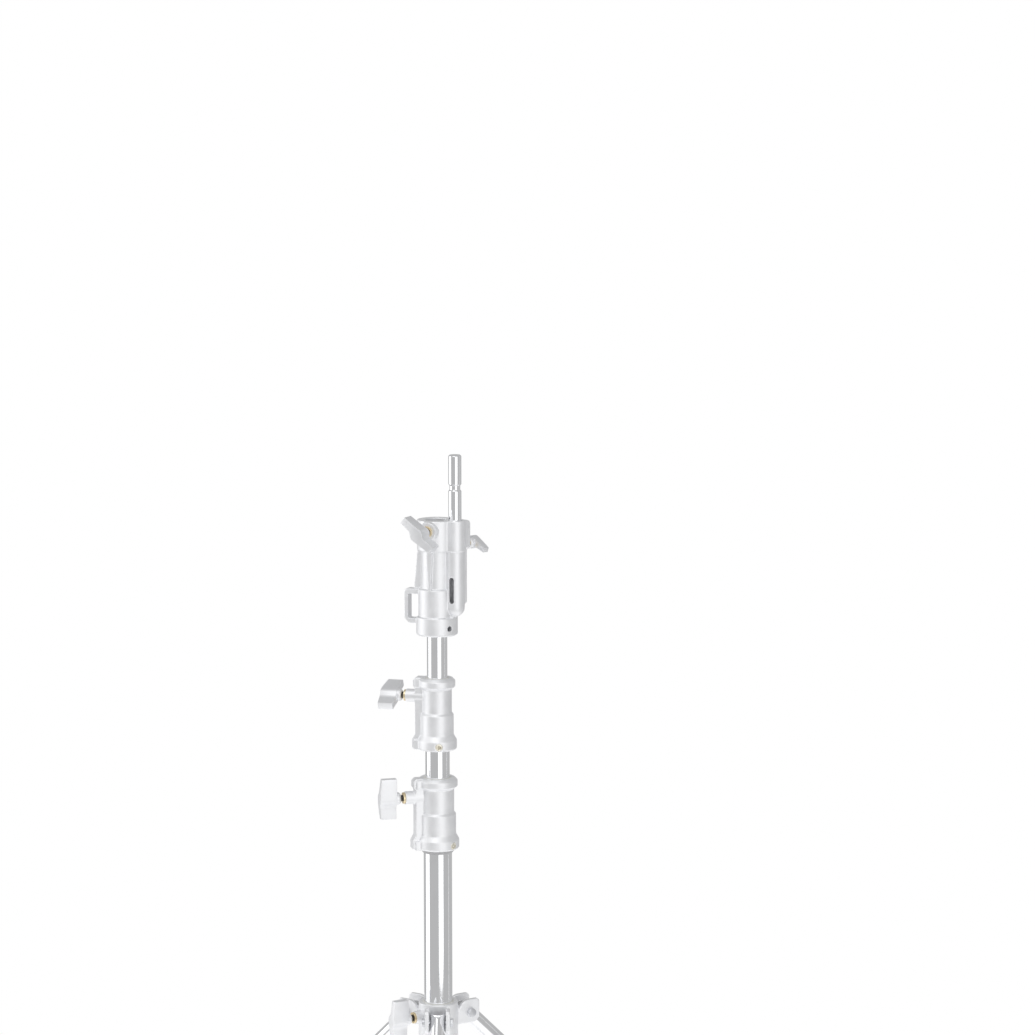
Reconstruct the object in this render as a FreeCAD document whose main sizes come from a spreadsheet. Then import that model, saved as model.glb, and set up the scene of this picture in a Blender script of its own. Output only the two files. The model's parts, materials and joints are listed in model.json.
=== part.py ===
import FreeCAD, Part
import os

from FreeCAD import Vector
from Sketcher import Constraint

# Folding combination light stand: three chromed tubes that telescope through two cast collars, a cast head
# with a 28.6 mm receiver and a sliding 16 mm stud beside it, and three braced legs on a sliding hub.
# The frame: millimetres, +Z up, the origin on the floor under the column's axis. Azimuths are measured from +X
# towards +Y. Each sub-part is drawn in its own frame, with +X pointing outwards, and is placed by its azimuth.

SIZES = {
    # Tubes of the column and the nylon that runs on them
    "base_tube_radius": 17.5,
    "middle_tube_radius": 15.0,
    "top_tube_radius": 12.5,
    "tube_wall": 1.5,
    "slip": 0.08,
    "overrun": 1,
    "liner_wall": 2.1,
    "guide_length": 30,
    "guide_lip": 6,
    "guide_bore": 3,
    "middle_overlap": 690,
    "top_overlap": 725,
    # Bare stretches of tube, from the hub up to the head
    "base_show": 194.8,
    "middle_show": 35.3,
    "top_show": 53.3,
    # Collars
    "collar_length": 89.2,
    "collar_ring_length": 11.6,
    "collar_flare_length": 6.9,
    "collar_seat_depth": 46,
    "collar_step_length": 2.5,
    "collar_bead_length": 14,
    "collar_edge": 3.4,
    "neck_wall": 3.2,
    "seat_wall": 5.1,
    "ring_wall": 9.0,
    "bead_rise": 4.3,
    "pad_reach": 9.0,
    "pad_half_width": 7.1,
    "pad_bead_rise": 2.6,
    "pad_ring_rise": 4.0,
    "collar_boss_reach": 21.5,
    "collar_knob_drop": 24,
    "collar_screw_rise": 6,
    "middle_collar_turn": 165,
    "base_collar_turn": 196,
    "middle_screw_turn": 276,
    "base_screw_turn": 320,
    "bumper_length": 5,
    "bumper_radius": 22.7,
    "bumper_foot": 1,
    # Clamping knobs
    "bush_radius": 5.1,
    "bush_lip_radius": 7,
    "bush_lip": 2.6,
    "small_bush_lip": 1.6,
    "screw_radius": 4,
    "screw_play": 0.05,
    "bush_gap": 0.5,
    "shoe_play": 0.1,
    "shoe_gap": 0.15,
    "shoe_length": 4,
    "knob_travel": 2.5,
    "boss_radius": 8.15,
    "neck_gap": 5.5,
    "small_neck_gap": 2.2,
    "neck_length": 5.5,
    "neck_taper": 0.85,
    "handle_hub_radius": 8,
    "handle_half_length": 25.5,
    "handle_depth": 21,
    "wing_depth": 17,
    "wing_inner": 2.2,
    "wing_outer": 6.5,
    "small_screw_radius": 3,
    "small_hub_radius": 8,
    "small_half_length": 24.5,
    "small_depth": 9,
    "small_wing_depth": 6.5,
    "small_wing_inner": 1.6,
    "small_wing_outer": 4.2,
    "collar_knob_roll": 0,
    "middle_knob_roll": 70,
    "hub_knob_roll": 0,
    # Head casting
    "head_turn": 337,
    "head_length": 142.5,
    "head_ring_length": 23,
    "head_ring_radius": 25.5,
    "head_ring_edge": 2,
    "head_step_height": 57,
    "head_lower_radius": 22.4,
    "head_upper_radius": 19.3,
    "head_block_height": 105,
    "head_block_radius": 24,
    "receiver_radius": 14.3,
    "receiver_depth": 74,
    "head_seat_depth": 52,
    "head_screw_turn": -27,
    "head_screw_height": 10,
    "head_screw_radius": 3.2,
    "head_screw_sink": 2,
    "head_screw_spread": 120,
    "receiver_boss_radius": 12,
    "receiver_boss_reach": 29,
    "receiver_knob_drop": 12.5,
    "receiver_knob_roll": 52,
    "front_rib_reach": 22.8,
    "front_rib_top_width": 8,
    "front_rib_foot_width": 3,
    "fin_thickness": 5,
    "fin_top_reach": 24.5,
    "fin_foot_reach": 30,
    "fin_top_height": 112,
    "fin_root": 3,
    "loop_reach": 41.5,
    "loop_bar": 5,
    "loop_thickness": 12,
    "loop_foot_height": 13,
    "loop_length": 43,
    "loop_corner": 6,
    "loop_rail": 6.5,
    # Stud beside the receiver
    "stud_offset": 24.5,
    "stud_radius": 7.94,
    "stud_play": 0.1,
    "stud_length": 120,
    "stud_show": 80,
    "stud_tip_length": 34.5,
    "stud_groove_length": 8,
    "stud_groove_depth": 1.4,
    "stud_chamfer": 1.5,
    "stud_barrel_radius": 11.7,
    "stud_barrel_foot": 24,
    "stud_bore_floor": 4,
    "stud_block_radius": 13,
    "window_width": 6,
    "window_foot_height": 41,
    "window_length": 32,
    "stud_knob_turn": 68,
    "stud_knob_drop": 29.5,
    "stud_knob_roll": 112,
    "stud_boss_reach": 18.4,
    "stud_boss_half_width": 9,
    "stud_boss_length": 34,
    "stud_boss_step": 1,
    "stud_boss_corner": 4.5,
    "back_rib_reach": 17.5,
    "back_rib_thickness": 6,
    "back_rib_foot_height": 40,
    # Leg hub, lower hub, legs and braces
    "leg_spread": 45,
    "leg_reach": 677,
    "leg_radius": 10,
    "leg_wall": 1.5,
    "leg_gap": 0.5,
    "leg_plug_length": 28,
    "brace_reach": 300,
    "brace_width": 16,
    "brace_thickness": 3,
    "first_leg_turn": 30,
    "pivot_radius": 38,
    "pivot_drop": 17,
    "hub_radius": 24.5,
    "hub_length": 46,
    "ear_reach": 50,
    "ear_root": 10,
    "ear_flat": 15,
    "ear_curve": 15,
    "ear_corner": 3,
    "ear_foot_corner": 6,
    "ear_thickness": 5,
    "ear_length": 30,
    "hub_knob_turn": 210,
    "hub_knob_drop": 17,
    "hub_boss_reach": 34,
    "lower_hub_radius": 23.5,
    "lower_hub_length": 44,
    "lower_screw_length": 9,
    "base_cap_length": 4,
    "base_cap_insert": 12,
    "base_cap_edge": 1,
    "base_set_back": 2,
    "bolt_radius": 3,
    "bolt_play": 0.1,
    "tongue_rim": 2,
    "bolt_head_radius": 5.5,
    "bolt_head_length": 4,
    "foot_radius": 14.7,
    "foot_stand": 13.5,
    "foot_length": 34,
    "foot_seat": 2,
    "collar_screw_radius": 2.1,
    "collar_screw_head_radius": 4.4,
    "collar_screw_head_length": 2.4,
}

AXES = {"x": "1; 0; 0", "y": "0; 1; 0", "z": "0; 0; 1"}
ALONG = {"x": (("y", "90"),), "y": (("x", "-90"),), "-y": (("x", "90"),), "z": ()}
LEGS = {"a": "0", "b": "120", "c": "240"}
ZERO = ("0", "0", "0")

doc = FreeCAD.newDocument("light_stand")
sheet = doc.addObject("Spreadsheet::Sheet", "Sizes")
for row, (alias, size) in enumerate(SIZES.items(), start=1):
    sheet.set(f"A{row}", alias)
    sheet.set(f"B{row}", str(size))
    sheet.setAlias(f"B{row}", alias)
doc.recompute()

nodes = {}


# ---------------------------------------------------------------- expressions
def sized(text):
    """Turns each bare alias in an expression into a reference to the spreadsheet."""
    words = []
    for word in text.replace("(", "( ").replace(")", " )").split():
        words.append(f"Sizes.{word}" if word in SIZES else word)
    return " ".join(words).replace("( ", "(").replace(" )", ")")


def value(text):
    """Works out an expression as a plain number."""
    return float(sheet.evalExpression(sized(text)))


def bind(item, **sizes):
    """Ties properties of an object to expressions on the spreadsheet."""
    for name, text in sizes.items():
        item.setExpression(name, sized(text))
    return item


def put(item, at=ZERO, turns=()):
    """Ties an object's placement to a point, three expressions, and to turns given as (axis, degrees)."""
    spins = [f"rotation(vector({AXES[axis]}); {angle})" for axis, angle in turns] or ["rotation(vector(0; 0; 1); 0)"]
    point = "; ".join(at)
    return bind(item, Placement=f"placement(vector( {point} ); {' * '.join(spins)})".replace(";", " ;"))


def around(radius, azimuth):
    """Gives the x and y expressions of a point at a radius and an azimuth."""
    return f"( {radius} ) * cos( {azimuth} )", f"( {radius} ) * sin( {azimuth} )"


# ---------------------------------------------------------------- shapes
def cylinder(name, radius, height, at=ZERO, along="z"):
    """Adds a cylinder that starts at a point and runs along an axis."""
    item = bind(doc.addObject("Part::Cylinder", name), Radius=radius, Height=height)
    return put(item, at, ALONG[along])


def cone(name, radius, end_radius, height, at=ZERO, along="z"):
    """Adds a cone that starts at a point and runs along an axis."""
    item = bind(doc.addObject("Part::Cone", name), Radius1=radius, Radius2=end_radius, Height=height)
    return put(item, at, ALONG[along])


def ball(name, radius, at=ZERO):
    """Adds a full sphere."""
    return put(bind(doc.addObject("Part::Sphere", name), Radius=radius), at)


def block(name, length, width, height, at=ZERO, turns=()):
    """Adds a box from its lowest corner."""
    item = bind(doc.addObject("Part::Box", name), Length=length, Width=width, Height=height)
    return put(item, at, turns)


def fuse(name, *parts):
    """Joins solids into one."""
    item = doc.addObject("Part::MultiFuse", name)
    item.Shapes = list(parts)
    item.Refine = True
    return item


def cut(name, base, *tools):
    """Cuts one solid, or several together, out of another."""
    item = doc.addObject("Part::Cut", name)
    item.Base = base
    item.Tool = tools[0] if len(tools) == 1 else fuse(name + "_tools", *tools)
    return item


def common(name, first, second):
    """Keeps what two solids share."""
    item = doc.addObject("Part::Common", name)
    item.Base = first
    item.Tool = second
    return item


def group(name, *parts):
    """Keeps separate solids together as one sub-part."""
    item = doc.addObject("Part::Compound", name)
    item.Links = list(parts)
    return item


def draw(body, role, outline):
    """Draws a closed outline of (across, up) expressions on one of a body's own planes."""
    sketch = body.newObject("Sketcher::SketchObject", body.Name + "_outline")
    sketch.AttachmentSupport = [(next(f for f in body.Origin.OriginFeatures if f.Role == role), "")]
    sketch.MapMode = "FlatFace"
    corners = [Vector(value(across), value(up), 0) for across, up in outline]
    for start, end in zip(corners, corners[1:] + corners[:1]):
        sketch.addGeometry(Part.LineSegment(start, end))
    for edge, (across, up) in enumerate(outline):
        sketch.addConstraint(Constraint("Coincident", edge, 2, (edge + 1) % len(outline), 1))
        for kind, axis, text in (("DistanceX", -2, across), ("DistanceY", -1, up)):
            if text == "0":
                sketch.addConstraint(Constraint("PointOnObject", edge, 1, axis))
            else:
                number = sketch.addConstraint(Constraint(kind, -1, 1, edge, 1, value(text)))
                sketch.setExpression(f"Constraints[{number}]", sized(text))
    return sketch


def turned(name, outline):
    """Adds a body turned about the Z axis from an outline of (radius, height) expressions."""
    body = doc.addObject("PartDesign::Body", name)
    sketch = draw(body, "XZ_Plane", outline)
    turn = body.newObject("PartDesign::Revolution", name + "_turn")
    turn.Profile = sketch
    turn.ReferenceAxis = (sketch, ["V_Axis"])
    turn.Angle = 360
    return body


def plate(name, role, outline, thickness):
    """Adds a body of an even thickness, half each side of the plane that its outline is drawn on."""
    body = doc.addObject("PartDesign::Body", name)
    sketch = draw(body, role, outline)
    pad = body.newObject("PartDesign::Pad", name + "_pad")
    pad.Profile = sketch
    pad.SideType = "Symmetric"
    bind(pad, Length=thickness)
    return body


def node(item, label, at=ZERO, azimuth="0", turns=()):
    """Places a finished sub-part and keeps it under its label."""
    put(item, at, (("z", azimuth), *turns))
    item.Label = label
    nodes[label] = item
    return item


# ---------------------------------------------------------------- levels, from the floor up
LEG_PIVOT = "( leg_reach * cos( leg_spread ) + foot_stand )"
BRACE_PIVOT = f"( {LEG_PIVOT} - 2 * brace_reach * cos( leg_spread ) )"
HUB_TOP = f"( {LEG_PIVOT} + pivot_drop )"
BASE_END = f"( {BRACE_PIVOT} - lower_hub_length / 2 - base_set_back )"
BASE_COLLAR = f"( {HUB_TOP} + base_show )"
MIDDLE_COLLAR = f"( {BASE_COLLAR} + collar_length + middle_show )"
HEAD = f"( {MIDDLE_COLLAR} + collar_length + top_show )"


# ---------------------------------------------------------------- fasteners
def collar_screw(name, surface, depth, hole=False):
    """A pan-headed screw that points inwards, or its hole: the head's top lies on the surface radius."""
    play, beyond = ("screw_play", "overrun") if hole else ("0", "0")
    head = cylinder(
        name + "_head",
        f"collar_screw_head_radius + {play}",
        f"collar_screw_head_length + {beyond}",
        (f"{surface} - collar_screw_head_length", "0", "0"),
        "x",
    )
    shank = cylinder(
        name + "_shank",
        f"collar_screw_radius + {play}",
        f"{depth} - collar_screw_head_length",
        (f"{surface} - ( {depth} )", "0", "0"),
        "x",
    )
    return fuse(name, head, shank)


def pivot_bolt(name, half_width):
    """A bolt along Y with a round head, centred on its pivot; half_width is where its head seats."""
    length = f"2 * {half_width} + bolt_head_length"
    head_start = f"- {half_width} - bolt_head_length"
    shank = cylinder(name + "_shank", "bolt_radius", length, ("0", f"- {half_width}", "0"), "y")
    head = cylinder(name + "_head", "bolt_head_radius", "bolt_head_length", ("0", head_start, "0"), "y")
    return fuse(name, shank, head)


def pivot_nut(name, half_width):
    """A six-sided nut on the far end of a pivot bolt."""
    outside = doc.addObject("Part::Prism", name + "_outside")
    outside.Polygon = 6
    bind(outside, Circumradius="bolt_head_radius", Height="bolt_head_length")
    put(outside, ("0", half_width, "0"), ALONG["y"])
    hole = cylinder(name + "_hole", "bolt_radius", "bolt_head_length", ("0", half_width, "0"), "y")
    return cut(name, outside, hole)


# ---------------------------------------------------------------- clamping knobs
def handle(name, boss, small):
    """The cast T-shaped handle: a hub, a tapered neck behind it and two wings set off to opposite sides."""
    kind = "small_" if small else ""
    hub = "small_hub_radius" if small else "handle_hub_radius"
    depth = "small_depth" if small else "handle_depth"
    half = "small_half_length" if small else "handle_half_length"
    inner, outer = f"{kind}wing_inner", f"{kind}wing_outer"
    start = f"{boss} + {kind}neck_gap"
    back = f"{start} + neck_length"
    wing = [
        (hub, "0"),
        (outer, half),
        (f"- {inner}", half),
        (f"- {inner}", f"{hub} * 1.5"),
        (f"- {hub} * 0.75", f"{hub} * 0.85"),
    ]
    outline = wing + [(f"- ( {across} )", f"- ( {along} )") for across, along in wing[1:]]
    outline.insert(len(wing), (f"- {hub}", "0"))
    wings = plate(name + "_wings", "YZ_Plane", outline, f"{kind}wing_depth")
    put(wings, (f"{back} + {depth} / 2", "0", "0"))
    middle = cylinder(name + "_middle", hub, depth, (back, "0", "0"), "x")
    neck = cone(name + "_neck", f"{hub} * neck_taper", hub, "neck_length", (start, "0", "0"), "x")
    hole = cylinder(name + "_hole", f"{kind}screw_radius", f"neck_length + {depth} / 2", (start, "0", "0"), "x")
    return cut(name, fuse(name + "_casting", wings, middle, neck), hole)


def knob(prefix, face, boss, at, azimuth, roll, small=False):
    """A clamping knob in four sub-parts: the pressure shoe, the screw behind it, its brass bush and its handle.

    The face is the radius of what the shoe presses on, and the boss is the end of the casting's boss.
    """
    kind = "small_" if small else ""
    depth = "small_depth" if small else "handle_depth"
    shoe_end = f"{face} + shoe_gap + shoe_length"
    screw_start = f"{shoe_end} + shoe_play"
    screw_end = f"{boss} + {kind}neck_gap + neck_length + {depth} / 2"
    screw_length = f"{screw_end} - ( {screw_start} )"
    bush_start = f"{shoe_end} + knob_travel + bush_gap"
    bush_length = f"{boss} - ( {bush_start} )"
    lip_length = f"{kind}bush_lip"

    shoe = cylinder(prefix + "_shoe_blank", "bush_radius - shoe_play", shoe_end, ZERO, "x")
    hollow = cylinder(prefix + "_shoe_hollow", f"{face} + shoe_gap", "4 * bush_radius",
                      ("0", "0", "- 2 * bush_radius"))
    node(cut(prefix + "_shoe", shoe, hollow), prefix + "_shoe", at, azimuth)

    sleeve = cylinder(prefix + "_bush_sleeve", "bush_radius", bush_length, (bush_start, "0", "0"), "x")
    lip = cylinder(prefix + "_bush_lip", "bush_lip_radius", lip_length, (boss, "0", "0"), "x")
    bore = cylinder(prefix + "_bush_bore", f"{kind}screw_radius + screw_play", f"{boss} + {lip_length}", ZERO, "x")
    outside = fuse(prefix + "_bush_outside", sleeve, lip)
    node(cut(prefix + "_bush", outside, bore), prefix + "_bush", at, azimuth)

    screw = cylinder(prefix + "_screw_body", f"{kind}screw_radius", screw_length, (screw_start, "0", "0"), "x")
    node(group(prefix + "_screw", screw), prefix + "_screw", at, azimuth)

    node(handle(prefix + "_knob", boss, small), prefix + "_knob", at, azimuth, (("x", roll),))


def knob_hole(name, boss, at=ZERO, turns=()):
    """The hole through a casting that takes a knob's bush and shoe."""
    hole = cylinder(name, "bush_radius", f"{boss} + overrun", ZERO, "x")
    return put(hole, at, (*turns, *ALONG["x"]))


# ---------------------------------------------------------------- column
def tube(name, radius, bottom, top):
    """A straight tube up the column's axis."""
    length = f"{top} - ( {bottom} )"
    outside = cylinder(name + "_outside", radius, length, ("0", "0", bottom))
    inside = cylinder(name + "_inside", f"{radius} - tube_wall", length, ("0", "0", bottom))
    return cut(name, outside, inside)


def guide(name, carrier_radius, tube_radius, bottom):
    """The nylon guide at a riser's foot: it slides in the tube outside and the riser turns on its spigot."""
    outline = [
        ("guide_bore", "0"),
        (f"{carrier_radius} - tube_wall - slip", "0"),
        (f"{carrier_radius} - tube_wall - slip", "guide_lip"),
        (f"{tube_radius} - tube_wall - slip", "guide_lip"),
        (f"{tube_radius} - tube_wall - slip", "guide_length"),
        ("guide_bore", "guide_length"),
    ]
    return node(turned(name, outline), name, ("0", "0", bottom))


def collar(prefix, riser, carrier, level, azimuth, screw_turn, roll):
    """A cast collar with its nylon liner, its screws and its clamping knob, on top of a carrying tube."""
    liner = f"{riser} + slip + liner_wall"
    neck = f"{liner} + neck_wall"
    seat = f"{carrier} + seat_wall"
    ring = f"{carrier} + ring_wall"
    pad = f"{neck} + pad_reach"
    boss = f"{neck} + collar_boss_reach"
    screw_height = "collar_screw_rise"
    knob_height = "collar_length - collar_knob_drop"
    outline = [
        ("0", "0"),
        (f"{ring} - collar_edge / 2", "0"),
        (ring, "collar_edge / 2"),
        (ring, "collar_ring_length"),
        (seat, "collar_ring_length + collar_flare_length"),
        (seat, "collar_seat_depth - collar_step_length"),
        (neck, "collar_seat_depth"),
        (neck, "collar_length - collar_bead_length"),
        (f"{neck} + bead_rise", "collar_length - collar_bead_length + collar_edge"),
        (f"{neck} + bead_rise", "collar_length - collar_edge"),
        (f"{neck} + bead_rise - collar_edge", "collar_length"),
        ("0", "collar_length"),
    ]
    name = prefix + "_collar"
    pad_outline = [
        ("0", "0"),
        (f"{pad} + pad_ring_rise - collar_edge / 2", "0"),
        (f"{pad} + pad_ring_rise", "collar_edge / 2"),
        (f"{pad} + pad_ring_rise", "collar_ring_length"),
        (pad, "collar_ring_length + collar_flare_length"),
        (pad, "collar_length - collar_bead_length"),
        (f"{pad} + pad_bead_rise", "collar_length - collar_bead_length + collar_edge"),
        (f"{pad} + pad_bead_rise", "collar_length - collar_edge"),
        (f"{pad} + pad_bead_rise - collar_edge", "collar_length"),
        ("0", "collar_length"),
    ]
    casting = fuse(
        name + "_casting",
        turned(name + "_barrel", outline),
        plate(name + "_pad", "XZ_Plane", pad_outline, "2 * pad_half_width"),
        block(
            name + "_pad_bead",
            f"{pad} + pad_bead_rise - collar_edge",
            "2 * ( pad_half_width + pad_bead_rise )",
            "collar_bead_length - collar_edge",
            ("0", "- pad_half_width - pad_bead_rise", "collar_length - collar_bead_length + collar_edge / 2"),
        ),
        block(
            name + "_pad_foot",
            f"{pad} + pad_ring_rise - collar_edge",
            "2 * ( pad_half_width + pad_ring_rise )",
            "collar_ring_length",
            ("0", "- pad_half_width - pad_ring_rise", "0"),
        ),
        cylinder(name + "_boss", "boss_radius", boss, ("0", "0", knob_height), "x"),
    )
    cutters = [
        cylinder(name + "_liner_bore", liner, "collar_length", ("0", "0", "collar_seat_depth")),
        cylinder(name + "_seat_bore", carrier, "collar_seat_depth"),
        knob_hole(name + "_knob_hole", boss, ("0", "0", knob_height)),
    ]
    screws = []
    for side in ("near", "far"):
        bearing = f"{screw_turn} - {azimuth}" + (" + 180" if side == "far" else "")
        hole = collar_screw(f"{name}_{side}_hole", ring, "ring_wall + tube_wall / 2", hole=True)
        cutters.append(put(hole, ("0", "0", screw_height), (("z", bearing),)))
        screw = collar_screw(f"{name}_{side}_screw", ring, "ring_wall")
        screws.append(put(screw, ("0", "0", screw_height), (("z", bearing),)))
    node(cut(name, casting, *cutters), name, ("0", "0", level), azimuth)
    node(group(name + "_screws", *screws), name + "_screws", ("0", "0", level), azimuth)

    seat_level = ("0", "0", "collar_seat_depth")
    sleeve = cylinder(name + "_liner_outside", liner, "collar_length - collar_seat_depth", seat_level)
    bore = cylinder(name + "_liner_inside", f"{riser} + slip", "collar_length", seat_level)
    opening = knob_hole(name + "_liner_opening", boss, ("0", "0", knob_height))
    node(cut(name + "_liner", sleeve, bore, opening), name + "_liner", ("0", "0", level), azimuth)

    knob(name, riser, boss, ("0", "0", f"{level} + {knob_height}"), azimuth, roll)


# ---------------------------------------------------------------- head
def head():
    """The head casting: the tube's socket, the receiver, the stud's barrel, two knob bosses, ribs and a loop."""
    stud = ("stud_offset", "0", "0")
    knob_side = (("z", "stud_knob_turn"),)
    barrel = turned(
        "head_barrel",
        [
            ("0", "0"),
            ("head_ring_radius - head_ring_edge", "0"),
            ("head_ring_radius", "head_ring_edge"),
            ("head_ring_radius", "head_ring_length"),
            ("head_lower_radius", "head_ring_length"),
            ("head_lower_radius", "head_step_height"),
            ("head_upper_radius", "head_step_height + overrun"),
            ("head_upper_radius", "head_block_height"),
            ("head_block_radius", "head_block_height"),
            ("head_block_radius", "head_length"),
            ("0", "head_length"),
        ],
    )
    barrel_length = "head_length - stud_barrel_foot - stud_barrel_radius"
    loop = plate(
        "head_loop",
        "XZ_Plane",
        [
            ("- head_upper_radius", "loop_foot_height"),
            ("loop_corner - loop_reach", "loop_foot_height"),
            ("- loop_reach", "loop_foot_height + loop_corner"),
            ("- loop_reach", "loop_foot_height + loop_length - loop_corner / 2"),
            ("loop_corner / 2 - loop_reach", "loop_foot_height + loop_length"),
            ("- head_upper_radius", "loop_foot_height + loop_length"),
        ],
        "loop_thickness",
    )
    fin = plate(
        "head_fin",
        "XZ_Plane",
        [
            ("- receiver_radius", "head_step_height - fin_root"),
            ("- fin_foot_reach", "head_step_height - fin_root"),
            ("- fin_top_reach", "fin_top_height"),
            ("- receiver_radius", "fin_top_height"),
        ],
        "fin_thickness",
    )
    front_rib = plate(
        "head_front_rib",
        "XZ_Plane",
        [
            ("- front_rib_foot_width / 2", "head_step_height"),
            ("front_rib_foot_width / 2", "head_step_height"),
            ("front_rib_top_width / 2", "head_block_height + overrun"),
            ("- front_rib_top_width / 2", "head_block_height + overrun"),
        ],
        "2 * front_rib_reach",
    )
    front_half = block("head_front_half", "2 * head_block_radius", "head_block_radius", "head_length",
                       ("- head_block_radius", "- head_block_radius", "0"))
    block_length = "head_length - head_block_height"
    barrel_end = ("stud_offset", "0", "stud_barrel_foot + stud_barrel_radius")
    stud_knob_level = "head_length - stud_knob_drop"
    boss_reach = "stud_boss_reach - stud_boss_step"
    boss_plate = plate(
        "head_stud_boss_plate",
        "XZ_Plane",
        [
            ("0", "head_length - stud_boss_length"),
            (boss_reach, "head_length - stud_boss_length"),
            (boss_reach, "head_length - stud_boss_corner"),
            (
                f"{boss_reach} - stud_boss_corner * ( 1 - cos( 45 ) )",
                "head_length - stud_boss_corner * ( 1 - sin( 45 ) )",
            ),
            (f"{boss_reach} - stud_boss_corner", "head_length"),
            ("0", "head_length"),
        ],
        "2 * stud_boss_half_width",
    )
    back_rib = plate(
        "head_back_rib",
        "XZ_Plane",
        [
            ("0", "back_rib_foot_height - back_rib_reach / 2"),
            ("back_rib_reach", "back_rib_foot_height"),
            ("back_rib_reach", stud_knob_level),
            ("0", stud_knob_level),
        ],
        "back_rib_thickness",
    )
    casting = fuse(
        "head_solid",
        barrel,
        cylinder("head_stud_barrel", "stud_barrel_radius", barrel_length, barrel_end),
        ball("head_stud_barrel_end", "stud_barrel_radius", barrel_end),
        cylinder("head_stud_block", "stud_block_radius", block_length, ("stud_offset", "0", "head_block_height")),
        block("head_bridge", "stud_offset", "2 * stud_block_radius", block_length,
              ("0", "- stud_block_radius", "head_block_height")),
        block("head_web", "stud_offset", "stud_block_radius", "head_block_height - head_ring_length",
              ("0", "- stud_block_radius / 2", "head_ring_length")),
        common("head_front_rib_half", front_rib, front_half),
        cylinder("head_receiver_boss", "receiver_boss_radius", "receiver_boss_reach",
                 ("0", "0", "head_length - receiver_knob_drop"), "-y"),
        put(boss_plate, stud, knob_side),
        put(cylinder("head_stud_boss", "boss_radius", "stud_boss_reach"),
            ("stud_offset", "0", stud_knob_level), (*knob_side, *ALONG["x"])),
        put(back_rib, stud, knob_side),
        loop,
        fin,
    )
    window_middle = "window_foot_height + window_width / 2"
    window_straight = "window_length - window_width"
    cutters = [
        cylinder("head_receiver", "receiver_radius", "receiver_depth + overrun",
                 ("0", "0", "head_length - receiver_depth")),
        cylinder("head_seat", "top_tube_radius", "head_seat_depth"),
        cylinder("head_stud_bore", "stud_radius + stud_play", "head_length",
                 ("stud_offset", "0", "stud_barrel_foot + stud_bore_floor")),
        block("head_window", "window_width", "2 * stud_barrel_radius", window_straight,
              ("stud_offset - window_width / 2", "- 2 * stud_barrel_radius", window_middle)),
        cylinder("head_window_foot", "window_width / 2", "2 * stud_barrel_radius",
                 ("stud_offset", "0", window_middle), "-y"),
        cylinder("head_window_top", "window_width / 2", "2 * stud_barrel_radius",
                 ("stud_offset", "0", f"{window_middle} + {window_straight}"), "-y"),
        block("head_loop_hole", "loop_reach - loop_bar - head_lower_radius", "2 * loop_thickness",
              "loop_length - 2 * loop_rail",
              ("loop_bar - loop_reach", "- loop_thickness", "loop_foot_height + loop_rail")),
        put(cylinder("head_receiver_knob_hole", "bush_radius", "receiver_boss_reach + overrun"),
            ("0", "0", "head_length - receiver_knob_drop"), ALONG["-y"]),
        knob_hole("head_stud_knob_hole", "stud_boss_reach", ("stud_offset", "0", stud_knob_level), knob_side),
    ]
    screws = []
    for side in ("near", "far"):
        bearing = "head_screw_turn" + (" + head_screw_spread" if side == "far" else "")
        turns = (("z", bearing), *ALONG["x"])
        hole = cylinder(f"head_{side}_screw_hole", "head_screw_radius + screw_play", "head_ring_radius + overrun")
        cutters.append(put(hole, ("0", "0", "head_screw_height"), turns))
        length = "head_lower_radius - top_tube_radius - head_screw_sink"
        screw = cylinder(f"head_{side}_screw", "head_screw_radius", length)
        start = around("top_tube_radius", bearing)
        screws.append(put(screw, (*start, "head_screw_height"), turns))
    node(cut("head_casting", casting, *cutters), "head_casting", ("0", "0", HEAD), "head_turn")
    node(group("head_set_screws", *screws), "head_set_screws", ("0", "0", HEAD), "head_turn")
    knob("receiver", "receiver_radius", "receiver_boss_reach",
         ("0", "0", f"{HEAD} + head_length - receiver_knob_drop"), "head_turn - 90", "receiver_knob_roll")
    knob("stud", "stud_radius", "stud_boss_reach",
         (*around("stud_offset", "head_turn"), f"{HEAD} + head_length - stud_knob_drop"),
         "head_turn + stud_knob_turn", "stud_knob_roll", small=True)


def stud():
    """The sliding stud: a plain pin with a safety groove below its tip."""
    tip = "stud_length - stud_chamfer"
    groove_top = f"{tip} - stud_tip_length"
    groove_foot = f"{groove_top} - stud_groove_length"
    waist = "stud_radius - stud_groove_depth"
    outline = [
        ("0", "0"),
        ("stud_radius", "0"),
        ("stud_radius", groove_foot),
        (waist, f"{groove_foot} + stud_groove_depth"),
        (waist, f"{groove_top} - stud_groove_depth"),
        ("stud_radius", groove_top),
        ("stud_radius", tip),
        ("stud_radius - stud_chamfer", "stud_length"),
        ("0", "stud_length"),
    ]
    level = f"{HEAD} + head_length + stud_show - stud_length"
    node(turned("baby_stud", outline), "baby_stud", (*around("stud_offset", "head_turn"), level))


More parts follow.
